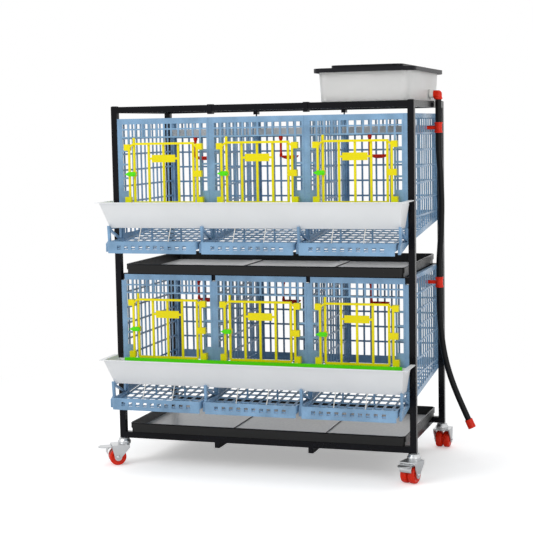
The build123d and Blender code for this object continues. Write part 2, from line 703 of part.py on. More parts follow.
# Dropping trays
def make_tray(tier, floor):
    """Folded steel tray with a hemmed rim and shallow cross ribs."""
    middle = -HALF_D + TRAY_D / 2
    rib_run = TRAY_D - 4 * TRAY_CORNER
    with BuildPart(level()) as tray:
        with BuildSketch(level(floor)):
            with Locations((0, middle)):
                RectangleRounded(TRAY_W - 2 * TRAY_HEM_T, TRAY_D - 2 * TRAY_HEM_T, TRAY_CORNER)
        extrude(amount=TRAY_H)
        with BuildSketch(level(floor + TRAY_H - TRAY_HEM)):
            with Locations((0, middle)):
                RectangleRounded(TRAY_W, TRAY_D, TRAY_CORNER + TRAY_HEM_T)
        extrude(amount=TRAY_HEM)
        with BuildSketch(level(floor + TRAY_T)):
            with Locations((0, middle)):
                inner = 2 * (TRAY_HEM_T + TRAY_T)
                RectangleRounded(TRAY_W - inner, TRAY_D - inner, TRAY_CORNER - TRAY_T)
        extrude(amount=TRAY_H, mode=Mode.SUBTRACT)
        for x in DIVIDERS:
            block((x - TRAY_RIB_W / 2, x + TRAY_RIB_W / 2),
                  (middle - rib_run / 2, middle + rib_run / 2),
                  (floor + TRAY_T, floor + TRAY_RIB_H))
            block((x - TRAY_RIB_W / 2 + TRAY_T, x + TRAY_RIB_W / 2 - TRAY_T),
                  (middle - rib_run / 2 + TRAY_T, middle + rib_run / 2 - TRAY_T),
                  (floor, floor + TRAY_RIB_H - TRAY_T), Mode.SUBTRACT)
    save(tray, f"{tier}_tray")


# Water
def make_pipes():
    """Square pipes along the back wall, each with a leg to its tee at the right."""
    back = HALF_D - PIPE_BACK
    end = INNER_X - END_FLANGE
    bore = PIPE - 2 * PIPE_WALL
    with BuildPart(level()) as pipes:
        for top in TIERS.values():
            middle = top - PIPE_DROP - PIPE / 2
            span = (middle - PIPE / 2, middle + PIPE / 2)
            block((-end, end), (back - PIPE, back), span)
            block((end - PIPE, end), (HOSE_Y - PIPE / 2, back - PIPE), span)
            core = (middle - bore / 2, middle + bore / 2)
            block((-end + PIPE_WALL, end - PIPE_WALL), (back - PIPE + PIPE_WALL, back - PIPE_WALL),
                  core, Mode.SUBTRACT)
            block((end - PIPE + PIPE_WALL, end - PIPE_WALL),
                  (HOSE_Y - PIPE / 2 + PIPE_WALL, back - PIPE / 2), core, Mode.SUBTRACT)
            tee_z = top - TEE_DROP - TEE_H / 2
            with BuildSketch(crosswise(end)):
                with Locations((HOSE_Y, tee_z)):
                    Circle(SPIGOT_R + PIN_FIT)
            extrude(amount=-PIPE_WALL, mode=Mode.SUBTRACT)
    save(pipes, "water_pipes")


def make_drinkers():
    """Drop tubes under the pipes, each with a drip cup to its right."""
    tube_y = HALF_D - PIPE_BACK - PIPE / 2
    with BuildPart(level()) as drinkers:
        for top in TIERS.values():
            under = top - PIPE_DROP - PIPE
            floor = under - DRINKER_DROP
            for cell in CELLS.values():
                x = cell - CUP_W / 2 - DRINKER_X + 2 * CUP_H
                with BuildSketch(level(floor)):
                    with Locations((x, tube_y)):
                        Circle(DRINKER_TUBE_R)
                extrude(amount=DRINKER_DROP)
                cup_x = (x - CUP_WALL, x - CUP_WALL + CUP_W)
                cup_y = (tube_y - CUP_D / 2, tube_y + CUP_D / 2)
                block(cup_x, cup_y, (floor - CUP_H / 2, floor + CUP_H / 2))
                left = x + DRINKER_TUBE_R + CUP_WALL
                block((left, cup_x[1] - CUP_WALL), (cup_y[0] + CUP_WALL, cup_y[1] - CUP_WALL),
                      (floor - CUP_H / 2 + CUP_WALL, floor + CUP_H), Mode.SUBTRACT)
    save(drinkers, "drinkers")


def make_tank():
    """Open water tank on the roof rails, drawn in towards its foot."""
    middle_x = TANK_RIGHT - TANK_W / 2
    with BuildPart(level()) as tank:
        for inset, mode in ((0, Mode.ADD), (TANK_WALL, Mode.SUBTRACT)):
            wide = TANK_W - 2 * inset
            deep = TANK_D - 2 * inset
            with BuildSketch(level(FRAME_TOP + inset)):
                with Locations((middle_x, 0)):
                    RectangleRounded(wide - 2 * TANK_DRAFT, deep - 2 * TANK_DRAFT,
                                     TANK_CORNER - inset)
            with BuildSketch(level(FRAME_TOP + TANK_H)):
                with Locations((middle_x, 0)):
                    RectangleRounded(wide, deep, TANK_CORNER - inset)
            loft(ruled=True, mode=mode)
        with BuildSketch(crosswise(TANK_RIGHT - 3 * TANK_WALL)):
            with Locations((HOSE_Y, ELBOW_Z)):
                Circle(SPIGOT_R + PIN_FIT)
        extrude(amount=4 * TANK_WALL, mode=Mode.SUBTRACT)
    save(tank, "tank")


def make_lid():
    """Loose lid with a skirt round the tank's rim and a raised panel."""
    middle_x = TANK_RIGHT - TANK_W / 2
    rim = FRAME_TOP + TANK_H
    with BuildPart(level()) as lid:
        with BuildSketch(level(rim - LID_H + LID_T)):
            with Locations((middle_x, 0)):
                RectangleRounded(TANK_W + 2 * LID_OVER, TANK_D + 2 * LID_OVER,
                                 TANK_CORNER + LID_OVER)
        extrude(amount=LID_H)
        with BuildSketch(level(rim + LID_T)):
            with Locations((middle_x, 0)):
                RectangleRounded(TANK_W - 2 * LID_PANEL_IN, TANK_D - 2 * LID_PANEL_IN,
                                 TANK_CORNER)
        extrude(amount=LID_PANEL_H)
        with BuildSketch(level(rim - LID_H + LID_T)):
            with Locations((middle_x, 0)):
                RectangleRounded(TANK_W + 2 * LID_OVER - 2 * LID_T,
                                 TANK_D + 2 * LID_OVER - 2 * LID_T,
                                 TANK_CORNER + LID_OVER - LID_T)
        extrude(amount=LID_H - LID_T, mode=Mode.SUBTRACT)
    save(lid, "tank_lid")


def make_outlet():
    """White threaded boss on the tank's right wall, with a spigot through the wall."""
    with BuildPart(level()) as outlet:
        with BuildSketch(crosswise(BOSS_X)):
            with Locations((HOSE_Y, ELBOW_Z)):
                Circle(BOSS_R)
        extrude(amount=BOSS_L)
        with BuildSketch(crosswise(BOSS_X - 3 * TANK_WALL)):
            with Locations((HOSE_Y, ELBOW_Z)):
                Circle(SPIGOT_R)
        extrude(amount=3 * TANK_WALL)
    save(outlet, "tank_outlet")


def make_elbow():
    """Red elbow from the boss down into the hose."""
    start = BOSS_X + BOSS_L
    foot = ELBOW_Z - ELBOW_DROP
    with BuildPart(level()) as elbow:
        with BuildSketch(crosswise(start)):
            with Locations((HOSE_Y, ELBOW_Z)):
                Circle(TEE_R)
        extrude(amount=HOSE_X - start)
        with Locations((HOSE_X, HOSE_Y, ELBOW_Z)):
            Sphere(TEE_R)
        with BuildSketch(level(foot)):
            with Locations((HOSE_X, HOSE_Y)):
                Circle(TEE_R)
        extrude(amount=ELBOW_Z - foot)
    save(elbow, "tank_elbow")


def make_tees():
    """Red tees on the hose, each with a spigot through the side panel to its pipe."""
    end = INNER_X - END_FLANGE
    with BuildPart(level()) as tees:
        for top in TIERS.values():
            high = top - TEE_DROP
            with BuildSketch(level(high - TEE_H)):
                with Locations((HOSE_X, HOSE_Y)):
                    Circle(TEE_R)
            extrude(amount=TEE_H)
            with BuildSketch(crosswise(end - PIPE_WALL)):
                with Locations((HOSE_Y, high - TEE_H / 2)):
                    Circle(SPIGOT_R)
            extrude(amount=HOSE_X - end + PIPE_WALL)
    save(tees, "hose_tees")


def corner_radii(points):
    """Largest arc at each corner: 0.45 of the shorter run over the tangent of half the turn."""
    radii = []
    for before, here, after in zip(points, points[1:], points[2:]):
        run_in = Vector(*here) - Vector(*before)
        run_out = Vector(*after) - Vector(*here)
        half_turn = radians(run_in.get_angle(run_out)) / 2
        radii.append(0.45 * min(run_in.length, run_out.length) / tan(half_turn))
    return radii


def hose_along(points):
    """Hose swept along straight runs and tangent arcs, with its length and least radius."""
    placed = [(CX + x, CY + y, z) for x, y, z in points]
    radii = corner_radii(placed)
    with BuildPart() as hose:
        with BuildLine() as path:
            FilletPolyline(*placed, radius=radii)
        route = path.wires()[0]
        with BuildSketch(Plane(origin=route @ 0, z_dir=route % 0)):
            Circle(HOSE_R)
        sweep(path=route)
    return hose.part, route.length, min(radii)


def make_hose():
    """Held hose: a short straight drop to the first tee, a bowed one to the second."""
    top_tee = TIERS["upper"] - TEE_DROP
    low_tee = TIERS["lower"] - TEE_DROP
    run = top_tee - TEE_H - low_tee
    long_drop = hose_along([
        (HOSE_X, HOSE_Y, top_tee - TEE_H),
        (HOSE_X, HOSE_Y, top_tee - TEE_H - 0.12 * run),
        (HOSE_X + 0.7 * BOW, HOSE_Y, top_tee - TEE_H - 0.3 * run),
        (HOSE_X + BOW, HOSE_Y, low_tee + 0.5 * run),
        (HOSE_X + 0.7 * BOW, HOSE_Y, low_tee + 0.3 * run),
        (HOSE_X, HOSE_Y, low_tee + 0.12 * run),
        (HOSE_X, HOSE_Y, low_tee),
    ])[0]
    with BuildPart() as hose:
        with BuildSketch(level(top_tee)):
            with Locations((HOSE_X, HOSE_Y)):
                Circle(HOSE_R)
        extrude(amount=ELBOW_Z - ELBOW_DROP - top_tee)
        add(long_drop)
    save(hose, "hose_drops")


def make_free_hose():
    """Free end of the hose below the lower tee, and the cap that closes it."""
    low_tee = TIERS["lower"] - TEE_DROP - TEE_H
    route = [(x, y, z - FREE_HOSE[0][2] + low_tee) for x, y, z in FREE_HOSE]
    swept, length, least = hose_along(route)
    section = 3.141592653589793 * HOSE_R ** 2
    print("free hose", round(length, 1), "mm, least radius", round(least, 1),
          "volume ratio", round(swept.volume / (section * length), 4))
    with BuildPart() as free_hose:
        add(swept)
    save(free_hose, "free_hose")
    end = Vector(*route[-1]) + Vector(CX, CY, 0)
    heading = Vector(*route[-1]) - Vector(*route[-2])
    with BuildPart() as cap:
        with BuildSketch(Plane(origin=end, z_dir=heading)):
            Circle(CAP_R)
        extrude(amount=CAP_L)
    save(cap, "hose_cap")


# Casters
def caster_plane(corner, z=0.0):
    """Flat plane on a caster's swivel, with its X axis along the trail."""
    x = POST_X if "right" in corner else -POST_X
    y = POST_Y if "back" in corner else -POST_Y
    heading = radians(TRAILS[corner])
    return Plane(origin=(CX + x, CY + y, z), x_dir=(cos(heading), sin(heading), 0),
                 z_dir=(0, 0, 1))


def upright_in(plane, side):
    """Upright plane along a caster's trail, shifted sideways: its axes are trail and Z."""
    return Plane(origin=plane.origin + plane.y_dir * side, x_dir=plane.x_dir,
                 z_dir=-plane.y_dir)


def make_races():
    """Swivel races, stems and plugs, fixed in the posts' feet, each with its king pin."""
    race_foot = POST_BASE - RUN_FIT - RACE_H - 2
    with BuildPart(level()) as races:
        for x, y in [(-POST_X, -POST_Y), (POST_X, -POST_Y), (-POST_X, POST_Y), (POST_X, POST_Y)]:
            lower = race_foot - FORK_PLATE_T - 2 * RUN_FIT
            for low, high, radius in (
                (race_foot, race_foot + RACE_H / 2, RACE_R),
                (race_foot + RACE_H / 2, race_foot + RACE_H, RACE_R - 4),
                (race_foot + RACE_H, POST_BASE + PLUG, STEM_R),
                (lower - 3, race_foot, KINGPIN_R),
                (lower - 3, lower, KINGPIN_R + 3),
            ):
                with BuildSketch(level(low)):
                    with Locations((x, y)):
                        Circle(radius)
                extrude(amount=high - low)
            plug = TUBE / 2 - TUBE_WALL
            block((x - plug, x + plug), (y - plug, y + plug), (POST_BASE, POST_BASE + PLUG))
    save(races, "caster_races")


def make_fork(corner):
    """Zinc fork with a top plate, two legs that taper to the axle, and the axle bolt."""
    plane = caster_plane(corner)
    race_foot = POST_BASE - RUN_FIT - RACE_H - 2
    plate_top = race_foot - RUN_FIT
    plate_foot = plate_top - FORK_PLATE_T
    reach = WHEEL_W + WHEEL_GAP / 2 + FORK_GAP
    axle = upright_in(plane, 0)
    with BuildPart(plane) as fork:
        with BuildSketch(caster_plane(corner, plate_foot)):
            pane((-FORK_BACK, FORK_AHEAD), (-reach - FORK_T, reach + FORK_T))
            Circle(KINGPIN_R + PIN_FIT, mode=Mode.SUBTRACT)
        extrude(amount=FORK_PLATE_T)
        for side in (-1, 1):
            inner = side * reach
            with BuildSketch(upright_in(plane, inner)):
                outline([
                    (-FORK_BACK, plate_foot),
                    (-FORK_BACK, plate_foot - 6),
                    (TRAIL - FORK_TIP_R, WHEEL_R),
                    (TRAIL + FORK_TIP_R, WHEEL_R),
                    (FORK_AHEAD, plate_foot - 6),
                    (FORK_AHEAD, plate_foot),
                ])
                with Locations((TRAIL, WHEEL_R)):
                    Circle(FORK_TIP_R)
            extrude(amount=-side * FORK_T)
        with BuildSketch(upright_in(plane, reach + FORK_T)):
            with Locations((TRAIL, WHEEL_R)):
                Circle(AXLE_R)
        extrude(amount=2 * (reach + FORK_T))
        if corner in BRAKED:
            with BuildSketch(upright_in(plane, reach)):
                with Locations((FORK_AHEAD - PEDAL_PIN_X, plate_foot - PEDAL_DROP)):
                    Circle(PEDAL_PIN_R)
            extrude(amount=2 * reach)
    save(fork, f"{corner}_fork")


def make_wheel(corner):
    """Red twin tread on one hub, bored for the axle."""
    plane = caster_plane(corner)
    half = WHEEL_W + WHEEL_GAP / 2
    with BuildPart(plane) as wheel:
        with BuildSketch(upright_in(plane, half)):
            with Locations((TRAIL, WHEEL_R)):
                Circle(HUB_R)
        extrude(amount=2 * half)
        for side in (-1, 1):
            with BuildSketch(upright_in(plane, side * WHEEL_GAP / 2)):
                with Locations((TRAIL, WHEEL_R)):
                    Circle(WHEEL_R)
            extrude(amount=-side * WHEEL_W)
        rims = wheel.edges().filter_by(GeomType.CIRCLE).filter_by(
            lambda edge: abs(edge.radius - WHEEL_R) < 0.01)
        fillet(rims, radius=WHEEL_GAP)
        with BuildSketch(upright_in(plane, half)):
            with Locations((TRAIL, WHEEL_R)):
                Circle(AXLE_R + PIN_FIT)
        extrude(amount=2 * half, mode=Mode.SUBTRACT)
    save(wheel, f"{corner}_wheels")


def make_pedal(corner):
    """Brake pedal over the wheel, pinned between the fork's legs."""
    plane = caster_plane(corner)
    race_foot = POST_BASE - RUN_FIT - RACE_H - 2
    pin_x = FORK_AHEAD - PEDAL_PIN_X
    pin_z = race_foot - RUN_FIT - FORK_PLATE_T - PEDAL_DROP
    with BuildPart(plane) as pedal:
        with BuildSketch(upright_in(plane, PEDAL_W / 2)):
            with Locations((pin_x, pin_z)):
                Circle(PEDAL_EYE_R)
        extrude(amount=PEDAL_W)
        with BuildSketch(caster_plane(corner, pin_z)):
            pane((pin_x, PEDAL_REACH), (-PEDAL_W / 2, PEDAL_W / 2))
            with Locations((PEDAL_REACH, 0)):
                Circle(PEDAL_W / 2)
        extrude(amount=PEDAL_T)
        with BuildSketch(upright_in(plane, PEDAL_W / 2)):
            with Locations((pin_x, pin_z)):
                Circle(PEDAL_PIN_R + PIN_FIT)
        extrude(amount=PEDAL_W, mode=Mode.SUBTRACT)
    save(pedal, f"{corner}_pedal")


os.makedirs("parts", exist_ok=True)
make_posts()
make_rails("top_rails", {FRAME_TOP: (POST_Y, POST_X)})
make_rails("tray_rails", {
    MID_RAIL_TOP: (POST_Y - MID_RAIL_BACK, RAIL_X - TUBE / 2),
    POST_BASE + TUBE: (POST_Y, RAIL_X - TUBE / 2),
})
make_clips()
make_cross_bars()
make_brackets()
make_backs(TIERS["lower"])
make_fronts(TIERS["lower"])
make_floors(TIERS["lower"])
make_lips()
make_guides(TIERS["lower"])
for tier, top in TIERS.items():
    make_panels(tier, top)
    for cell, x in CELLS.items():
        make_door(tier, cell, top, x)
        make_latch(tier, cell, top, x)
    make_trough(tier, top)
    make_saver(tier, top)
make_tray("lower", POST_BASE + TUBE)
make_tray("upper", MID_RAIL_TOP)
make_pipes()
make_drinkers()
make_tank()
make_lid()
make_outlet()
make_elbow()
make_tees()
make_hose()
make_free_hose()
make_races()
for corner in TRAILS:
    make_fork(corner)
    make_wheel(corner)
for corner in BRAKED:
    make_pedal(corner)
print("frame middle in the row frame", round(CX, 3), round(CY, 3))
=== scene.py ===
"""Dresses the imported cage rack: finishes, moulded details, hose, floor, lights and camera."""
import json
import math

import bmesh
import bpy
import numpy as np
from mathutils import Matrix, Vector


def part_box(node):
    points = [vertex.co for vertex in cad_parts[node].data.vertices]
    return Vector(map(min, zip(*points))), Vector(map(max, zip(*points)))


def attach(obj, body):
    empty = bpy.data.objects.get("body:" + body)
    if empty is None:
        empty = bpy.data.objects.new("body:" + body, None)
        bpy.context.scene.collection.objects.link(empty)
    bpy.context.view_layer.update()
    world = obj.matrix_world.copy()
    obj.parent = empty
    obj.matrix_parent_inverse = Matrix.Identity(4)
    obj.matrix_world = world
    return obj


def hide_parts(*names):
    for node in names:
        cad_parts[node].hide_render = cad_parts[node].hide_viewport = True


bl_info = {
    "name": "Cage rack dresser",
    "version": (1, 0, 0),
    "blender": (4, 5, 0),
    "location": "View3D > Sidebar > Cage rack",
    "description": "Finishes and details for a two-tier cage rack",
    "category": "Object",
}

# Places in the row frame, in metres: CX and CY are the middle of the four posts
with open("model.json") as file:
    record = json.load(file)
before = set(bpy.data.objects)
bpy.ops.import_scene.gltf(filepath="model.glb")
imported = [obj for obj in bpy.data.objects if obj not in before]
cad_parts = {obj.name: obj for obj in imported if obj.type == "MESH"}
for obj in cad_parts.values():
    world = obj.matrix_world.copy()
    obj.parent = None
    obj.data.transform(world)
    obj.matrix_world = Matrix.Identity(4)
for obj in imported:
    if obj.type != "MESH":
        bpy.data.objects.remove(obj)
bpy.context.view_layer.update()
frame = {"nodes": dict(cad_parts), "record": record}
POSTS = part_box("posts")
CX = (POSTS[0].x + POSTS[1].x) / 2
CY = (POSTS[0].y + POSTS[1].y) / 2
TIERS = {"lower": 0.636, "upper": 1.141}
CELLS = {"left": -0.316667, "middle": 0.0, "right": 0.316667}
POST_X = 0.490
POST_Y = 0.230
POST_TOP = 1.180
TRAIL = 0.025
WHEEL_RADIUS = 0.028
CASTERS = {
    "left_front": (-POST_X, -POST_Y, 212.0),
    "right_front": (POST_X, -POST_Y, 255.0),
    "left_back": (-POST_X, POST_Y, 90.0),
    "right_back": (POST_X, POST_Y, 90.0),
}
HOSE_X = 0.512
HOSE_Y = 0.085
HOSE_RADIUS = 0.010
UP = np.array([0.0, 0.0, 1.0])

# The photograph's camera: where it stands from (CX, CY, 0), and its turn in degrees
CAMERA_PLACE = (1.38412, -4.40493, 1.10526)
CAMERA_TURN = (18.1102, 5.7085, -1.0635)
CAMERA_LENS = 93.94


# Mesh building
def surface(name, verts, faces, body, slot, material=None):
    """Makes one smooth object from an (n, 3) array of points and a list of faces."""
    mesh = bpy.data.meshes.new(name)
    mesh.from_pydata(verts.tolist(), [], faces)
    mesh.polygons.foreach_set("use_smooth", [True] * len(mesh.polygons))
    mesh.materials.append(MATERIALS[material or slot])
    mesh.update()
    made = bmesh.new()
    made.from_mesh(mesh)
    bmesh.ops.recalc_face_normals(made, faces=made.faces)
    made.to_mesh(mesh)
    made.free()
    piece = bpy.data.objects.new(name, mesh)
    bpy.context.scene.collection.objects.link(piece)
    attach(piece, body)
    return piece


def mm(points):
    """Points given in millimetres, as an array in metres."""
    return np.array(points, float) / 1000


def grid_faces(rings, around, closed=False):
    """Quads between neighbouring rings, each joined round; closed also joins last to first."""
    rows = rings if closed else rings - 1
    i, j = np.meshgrid(np.arange(rows), np.arange(around), indexing="ij")
    a = i * around + j
    b = i * around + (j + 1) % around
    c = (i + 1) % rings * around + (j + 1) % around
    d = (i + 1) % rings * around + j
    return np.stack([a, b, c, d], -1).reshape(-1, 4).tolist()


def capped(rings, around):
    """The same quads, with one face over the first ring and one over the last."""
    last = (rings - 1) * around
    ends = [list(range(around)), list(range(last + around - 1, last - 1, -1))]
    return grid_faces(rings, around) + ends


def revolve(profile, origin, axis, around=48):
    """Closed (radius, height) profile turned about axis a: p = o + h a + r (cos t u + sin t v)."""
    a = Vector(axis).normalized()
    u = a.orthogonal().normalized()
    v = a.cross(u)
    t = np.linspace(0, 2 * math.pi, around, endpoint=False)
    ring = np.cos(t)[:, None] * np.array(u) + np.sin(t)[:, None] * np.array(v)
    points = (np.array(origin) + profile[:, 1, None, None] * np.array(a)
              + profile[:, 0, None, None] * ring[None])
    return points.reshape(-1, 3), grid_faces(len(profile), around, closed=True)


def tube(path, radius, around=12, closed=False):
    """Tube along points: each ring lies across the path, p = c + r (cos t n + sin t b)."""
    if closed:
        ahead = np.roll(path, -1, 0) - np.roll(path, 1, 0)
    else:
        ahead = np.gradient(path, axis=0)
    ahead /= np.linalg.norm(ahead, axis=1, keepdims=True)
    upright = abs(ahead[0, 2]) > 0.7
    n = np.cross(ahead, (0.0, 1.0, 0.0) if upright else (0.0, 0.0, 1.0))
    n /= np.linalg.norm(n, axis=1, keepdims=True)
    b = np.cross(ahead, n)
    t = np.linspace(0, 2 * math.pi, around, endpoint=False)[None, :, None]
    points = path[:, None] + radius * (np.cos(t) * n[:, None] + np.sin(t) * b[:, None])
    faces = grid_faces(len(path), around, closed=True) if closed else capped(len(path), around)
    return points.reshape(-1, 3), faces


def merge(parts):
    """Joins (points, faces) pairs into one pair."""
    verts, faces, start = [], [], 0
    for points, polygons in parts:
        verts.append(points)
        faces += [[start + i for i in polygon] for polygon in polygons]
        start += len(points)
    return np.concatenate(verts), faces


def caster(name):
    """A caster's foot point under its swivel, the way its wheel trails, and its axle's way."""
    x, y, heading = CASTERS[name]
    h = math.radians(heading)
    foot = np.array([CX + x, CY + y, 0.0])
    ahead = np.array([math.cos(h), math.sin(h), 0.0])
    return foot, ahead, np.cross(UP, ahead)


# Materials
def noise(tree, scale, detail=4.0):
    """Noise in object space, in metres."""
    coords = tree.nodes.new("ShaderNodeTexCoord")
    texture = tree.nodes.new("ShaderNodeTexNoise")
    texture.inputs["Scale"].default_value = scale
    texture.inputs["Detail"].default_value = detail
    tree.links.new(coords.outputs["Object"], texture.inputs["Vector"])
    return texture.outputs["Fac"]


def shades(tree, source, low, high, start=0.3, end=0.7):
    """Two colours blended by a source value."""
    ramp = tree.nodes.new("ShaderNodeValToRGB")
    ramp.color_ramp.elements[0].position = start
    ramp.color_ramp.elements[0].color = (*low, 1)
    ramp.color_ramp.elements[1].position = end
    ramp.color_ramp.elements[1].color = (*high, 1)
    tree.links.new(source, ramp.inputs["Fac"])
    return ramp.outputs["Color"]


def ranged(tree, source, low, high):
    """A source value from 0 to 1 mapped to a range."""
    node = tree.nodes.new("ShaderNodeMapRange")
    node.inputs["To Min"].default_value = low
    node.inputs["To Max"].default_value = high
    tree.links.new(source, node.inputs["Value"])
    return node.outputs["Result"]


def rise(tree):
    """How far the surface faces up, from -1 to 1."""
    geometry = tree.nodes.new("ShaderNodeNewGeometry")
    split = tree.nodes.new("ShaderNodeSeparateXYZ")
    tree.links.new(geometry.outputs["Normal"], split.inputs["Vector"])
    return split.outputs["Z"]


def mixed(tree, share, tint, other):
    """A tint that gives way to another colour by a share."""
    mix = tree.nodes.new("ShaderNodeMix")
    mix.data_type = "RGBA"
    tree.links.new(share, mix.inputs["Factor"])
    tree.links.new(tint, mix.inputs["A"])
    mix.inputs["B"].default_value = (*other, 1)
    return mix.outputs["Result"]


def finish(name, colour, vary=0.08, rough=(0.25, 0.4), metallic=0.0, coat=0.0, grain=220.0,
           bump=0.05, cloud=9.0, spangle=False, transmission=0.0, dust=0.0, sides=None,
           gloss=0.5):
    """Moulded, painted or metal finish: mottled colour, uneven roughness, fine grain, dust on what
    faces up, and, where sides is given, that grey on what doesn't face up, which is painted shade
    and dark reflection over the surface's own dark colour."""
    material = bpy.data.materials.new(name)
    material.use_nodes = True
    tree = material.node_tree
    shader = tree.nodes["Principled BSDF"]
    low = tuple(max(0.0, c * (1 - vary)) for c in colour)
    high = tuple(min(1.0, c * (1 + vary)) for c in colour)
    if spangle:
        coords = tree.nodes.new("ShaderNodeTexCoord")
        cells = tree.nodes.new("ShaderNodeTexVoronoi")
        cells.inputs["Scale"].default_value = 95.0
        tree.links.new(coords.outputs["Object"], cells.inputs["Vector"])
        height = cells.outputs["Distance"]
        tint = shades(tree, height, low, high, 0.0, 0.75)
    else:
        height = noise(tree, grain, 6.0)
        tint = shades(tree, noise(tree, cloud), low, high)
    tree.links.new(ranged(tree, height, *rough), shader.inputs["Roughness"])
    if dust:
        settled = tree.nodes.new("ShaderNodeMath")
        settled.operation = "MULTIPLY"
        settled.use_clamp = True
        settled.inputs[1].default_value = dust
        tree.links.new(rise(tree), settled.inputs[0])
        tint = mixed(tree, settled.outputs[0], tint, (0.55, 0.56, 0.57))
    # Painted shade and dark reflection: what doesn't face up blends to the sides grey, partly the
    # surface's own dark colour
    if sides is not None:
        painted_shade_mask = tree.nodes.new("ShaderNodeMapRange")
        painted_shade_mask.inputs["From Min"].default_value = 0.9
        painted_shade_mask.inputs["From Max"].default_value = 0.6
        tree.links.new(rise(tree), painted_shade_mask.inputs["Value"])
        tint = mixed(tree, painted_shade_mask.outputs["Result"], tint, (sides, sides, sides))
    tree.links.new(tint, shader.inputs["Base Color"])
    relief = tree.nodes.new("ShaderNodeBump")
    relief.inputs["Strength"].default_value = bump
    relief.inputs["Distance"].default_value = 0.001
    tree.links.new(height, relief.inputs["Height"])
    tree.links.new(relief.outputs["Normal"], shader.inputs["Normal"])
    shader.inputs["Metallic"].default_value = metallic
    shader.inputs["Specular IOR Level"].default_value = gloss
    shader.inputs["Coat Weight"].default_value = coat
    shader.inputs["Coat Roughness"].default_value = 0.12
    shader.inputs["Transmission Weight"].default_value = transmission
    shader.inputs["IOR"].default_value = 1.45
    return material


FINISHES = {
    "black_frame": dict(colour=(0.003, 0.003, 0.005), vary=0.3, rough=(0.16, 0.30), coat=0.08,
                        grain=160, bump=0.12, dust=0.015, gloss=0.12),
    "blue_net": dict(colour=(0.20, 0.35, 0.53), vary=0.20, rough=(0.20, 0.36), coat=0.2,
                     cloud=16, dust=0.06, gloss=0.35),
    "yellow_door": dict(colour=(0.86, 0.74, 0.003), vary=0.05, rough=(0.24, 0.36), gloss=0.25),
    "green_trim": dict(colour=(0.10, 0.76, 0.004), vary=0.06, rough=(0.22, 0.34), gloss=0.25),
    "white_trough": dict(colour=(0.79, 0.805, 0.82), vary=0.02, rough=(0.26, 0.40), gloss=0.4),
    # Tray: near black on all that doesn't face up, partly its dark coat and partly painted shade
    # and dark reflection on its walls
    "galvanised": dict(colour=(0.60, 0.585, 0.57), vary=0.10, rough=(0.28, 0.42), metallic=0.25,
                       bump=0.02, spangle=True, sides=0.006),
    "grey_pipe": dict(colour=(0.46, 0.48, 0.50), vary=0.04, rough=(0.35, 0.5)),
    "red_plastic": dict(colour=(0.76, 0.024, 0.006), vary=0.10, rough=(0.20, 0.34), gloss=0.25),
    "frosted_tank": dict(colour=(0.95, 0.95, 0.94), vary=0.02, rough=(0.34, 0.46), bump=0.1,
                         transmission=0.5),
    "black_lid": dict(colour=(0.008, 0.008, 0.011), vary=0.15, rough=(0.32, 0.48), bump=0.2,
                      gloss=0.18),
    "white_boss": dict(colour=(0.76, 0.75, 0.71), vary=0.04, rough=(0.3, 0.42)),
    "black_hose": dict(colour=(0.005, 0.005, 0.006), vary=0.2, rough=(0.26, 0.42), bump=0.15,
                       gloss=0.2),
    "zinc": dict(colour=(0.62, 0.63, 0.64), vary=0.10, rough=(0.22, 0.38), metallic=0.95,
                 grain=120, bump=0.06),
}
MATERIALS = {}


def colour_of(slot, name, description):
    """A colour setting that starts from the slot's own colour."""
    return bpy.props.FloatVectorProperty(
        name=name, description=description, subtype="COLOR", size=3, min=0.0, max=1.0,
        default=FINISHES[slot]["colour"])


class CageRackSettings(bpy.types.PropertyGroup):
    """Colours, sizes and strengths of the dressing; a colour has its slot's name."""

    black_frame: colour_of("black_frame", "Frame", "Paint of the steel frame")
    blue_net: colour_of("blue_net", "Nets", "Plastic of the nets, floors and egg trays")
    yellow_door: colour_of("yellow_door", "Doors", "Plastic of the doors and their guides")
    green_trim: colour_of("green_trim", "Trim", "Plastic of the latches and the feed savers")
    white_trough: colour_of("white_trough", "Troughs", "Plastic of the feed troughs")
    red_plastic: colour_of("red_plastic", "Wheels", "Plastic of the wheels and water fittings")
    edge: bpy.props.FloatProperty(
        name="Edge rounding", description="Rounding of the CAD edges", default=0.0009,
        unit="LENGTH", subtype="DISTANCE")
    rim: bpy.props.FloatProperty(
        name="Tray rim", description="Radius of the rolled tray rims", default=0.0022,
        unit="LENGTH", subtype="DISTANCE")
    key: bpy.props.FloatProperty(
        name="Key light", description="Power of the key light in watts", default=70.0,
        subtype="POWER")
    backdrop: bpy.props.FloatProperty(
        name="Backdrop", description="Light from the white backdrop", default=0.55,
        subtype="FACTOR")
    glow: bpy.props.FloatProperty(
        name="Floor glow", description="Brightness added to the floor in view", default=0.36,
        subtype="FACTOR")


class CAGERACK_OT_finishes(bpy.types.Operator):
    """Gives every CAD node the material of its slot, and small rounded edges where they show"""

    bl_idname = "cagerack.finishes"
    bl_label = "Finishes"

    def execute(self, context):
        settings = context.scene.cage_rack
        for slot, look in FINISHES.items():
            colour = tuple(getattr(settings, slot, look["colour"]))
            MATERIALS[slot] = finish(slot, **{**look, "colour": colour})
        for row in frame["record"]["subparts"]:
            node = frame["nodes"][row["node"]]
            node.data.materials.clear()
            node.data.materials.append(MATERIALS[row["material_slot"]])
            if row["material_slot"] in ("blue_net", "black_hose") or "cap" in row["node"]:
                continue
            bevel = node.modifiers.new("edge", "BEVEL")
            bevel.width = settings.edge
            bevel.segments = 2
            bevel.limit_method = "ANGLE"
            bevel.angle_limit = math.radians(40)
            bevel.harden_normals = True
        return {"FINISHED"}


